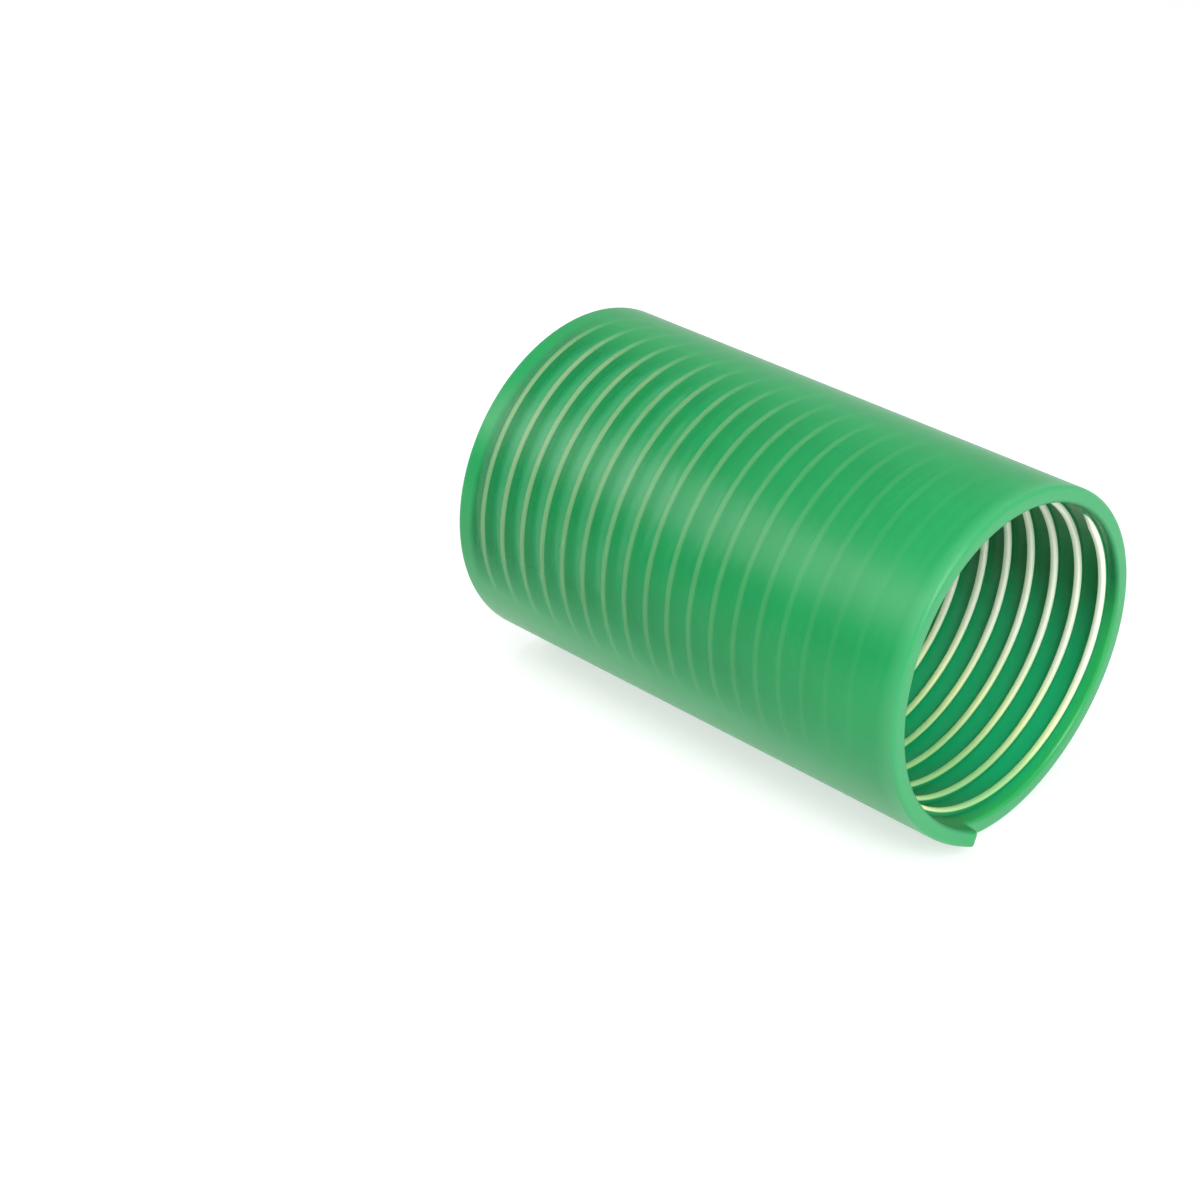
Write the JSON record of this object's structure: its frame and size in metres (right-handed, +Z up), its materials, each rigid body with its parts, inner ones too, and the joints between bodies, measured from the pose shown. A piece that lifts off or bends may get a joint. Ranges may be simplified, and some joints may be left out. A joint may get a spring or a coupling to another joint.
{
  "type": "pvc suction hose",
  "caption": "Short cut length of green soft PVC suction hose, lying on its side, with a cream rigid PVC helix standing as ribs in its bore, a square far end and a stepped mouth.",
  "frame": {"origin": "on the surface that the hose lies on, under the middle of its length", "axes": "+X along the hose towards the stepped mouth, +Z up, +Y to the left when looking towards +X"},
  "size_m": [0.186, 0.113, 0.113],
  "materials": {
    "soft_green_pvc": "soft translucent extruded PVC, satin, slightly hazy",
    "rigid_cream_pvc": "rigid opaque extruded PVC, satin"
  },
  "bodies": {
    "root": {"hose_wall": "soft_green_pvc", "reinforcing_helix": "rigid_cream_pvc"}
  },
  "joints": []
}
